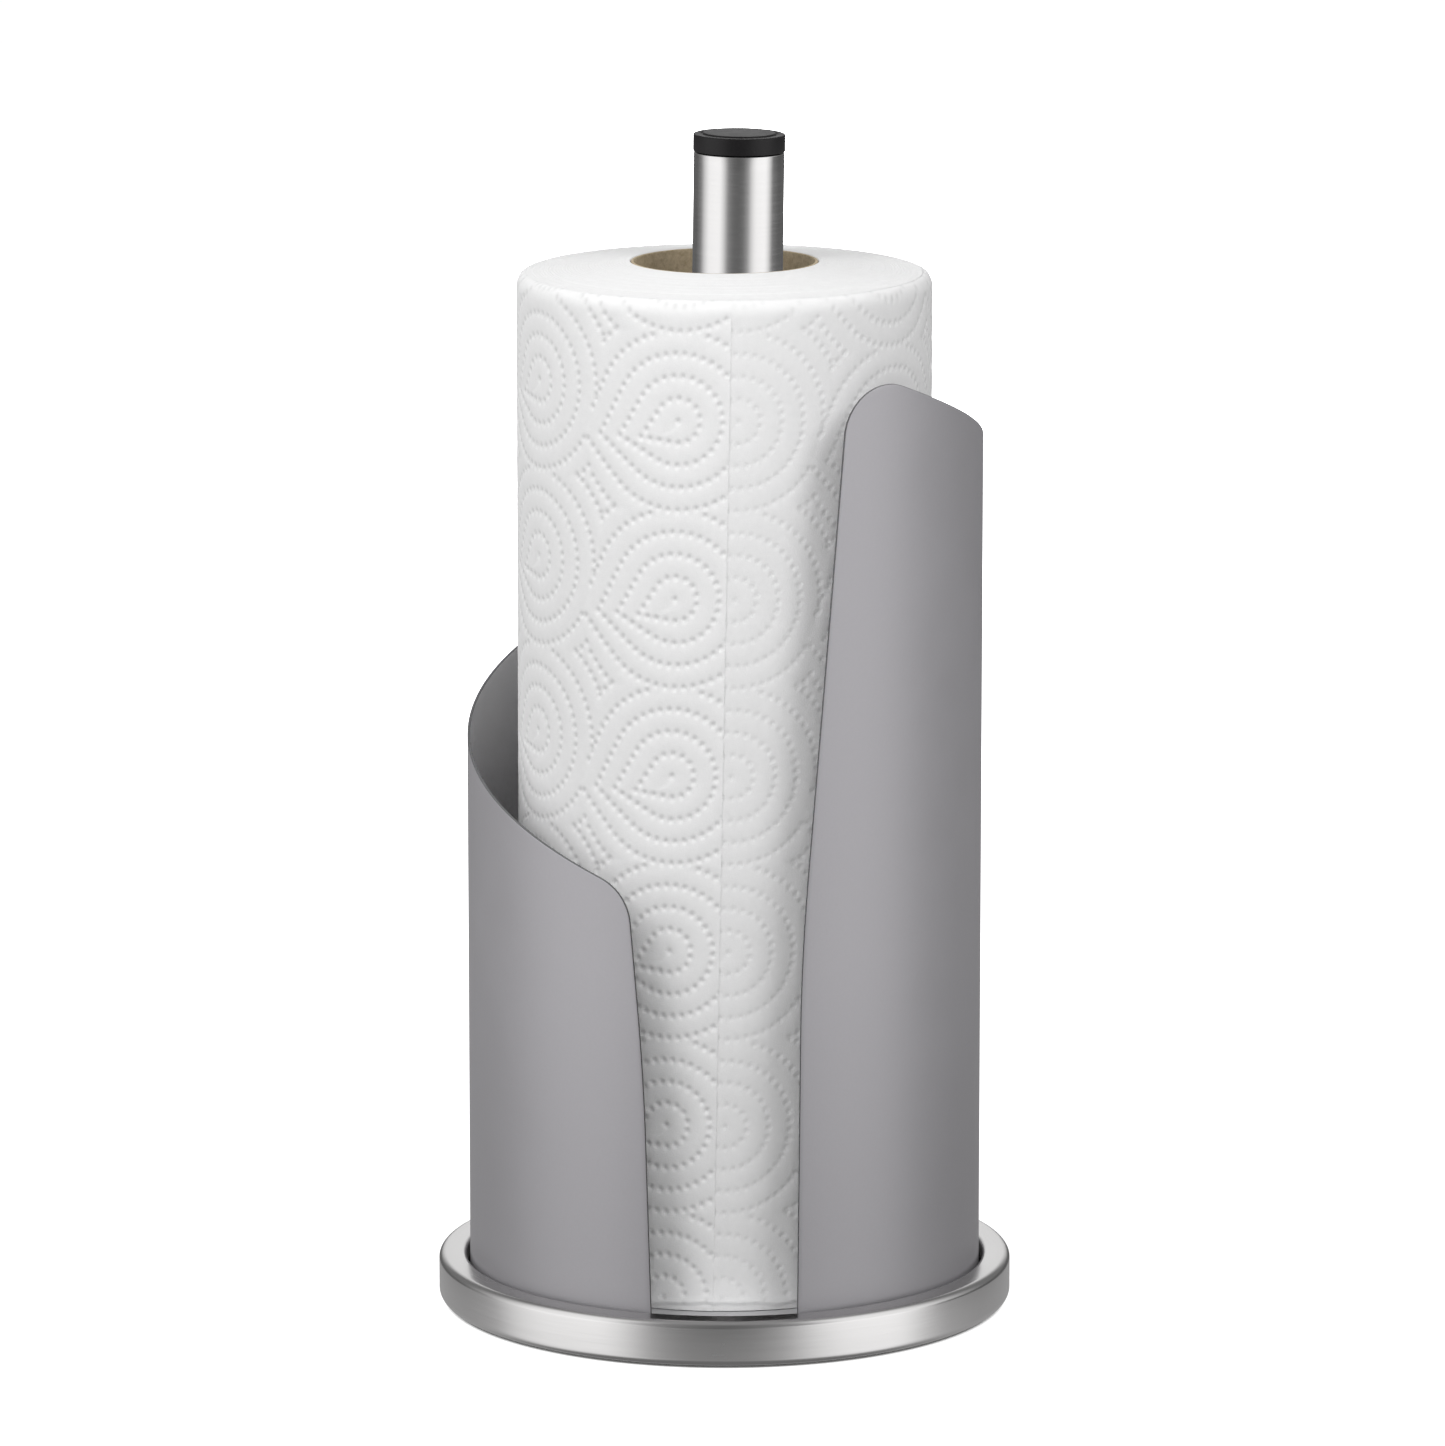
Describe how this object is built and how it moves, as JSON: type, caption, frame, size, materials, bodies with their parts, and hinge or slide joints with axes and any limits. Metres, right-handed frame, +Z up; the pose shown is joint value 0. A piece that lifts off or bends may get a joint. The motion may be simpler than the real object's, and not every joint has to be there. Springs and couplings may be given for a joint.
{
  "type": "paper towel holder",
  "caption": "Free-standing paper towel holder: weighted round steel base, slotted sheet-metal sleeve with a slanted top, capped steel post, and a paper roll that lifts off and turns.",
  "frame": {"origin": "centre of the underside, on the surface the holder stands on", "axes": "+Z up along the post and the roll, -Y towards the sleeve's front slot, +X to the right seen from the front"},
  "size_m": [0.16, 0.16, 0.3283],
  "materials": {
    "brushed_steel": "fine brushed, satin",
    "grey_coating": "satin powder coat",
    "black_plastic": "satin moulded",
    "grey_plastic": "satin moulded",
    "zinc_steel": "zinc plated",
    "cast_steel": "as cut, oiled",
    "black_foam": "matt foam",
    "cardboard": "matt, wound",
    "paper": "embossed tissue"
  },
  "bodies": {
    "holder": {"base_cover": "brushed_steel", "base_weight": "cast_steel", "bottom_plate": "black_plastic", "plate_screw_1": "zinc_steel", "plate_screw_2": "zinc_steel", "plate_screw_3": "zinc_steel", "anti_slip_pad_1": "black_foam", "anti_slip_pad_2": "black_foam", "anti_slip_pad_3": "black_foam", "anti_slip_pad_4": "black_foam", "floor_disc": "grey_plastic", "sleeve": "grey_coating", "sleeve_screw_1": "zinc_steel", "sleeve_screw_2": "zinc_steel", "sleeve_screw_3": "zinc_steel", "post_foot": "zinc_steel", "post_tube": "brushed_steel", "post_cap": "black_plastic", "flat_washer": "zinc_steel", "spring_washer": "zinc_steel", "post_bolt": "zinc_steel"},
    "core": {"roll_core": "cardboard"},
    "paper": {"roll_paper": "paper"}
  },
  "joints": [
    {"name": "roll_lift", "type": "slide", "parent": "holder", "child": "core", "axis": [0, 0, 1], "range_m": [0, 0.32]},
    {"name": "roll_turn", "type": "hinge", "parent": "core", "child": "paper", "pos_m": [0, 0, 0.15], "axis": [0, 0, 1], "continuous": true}
  ]
}
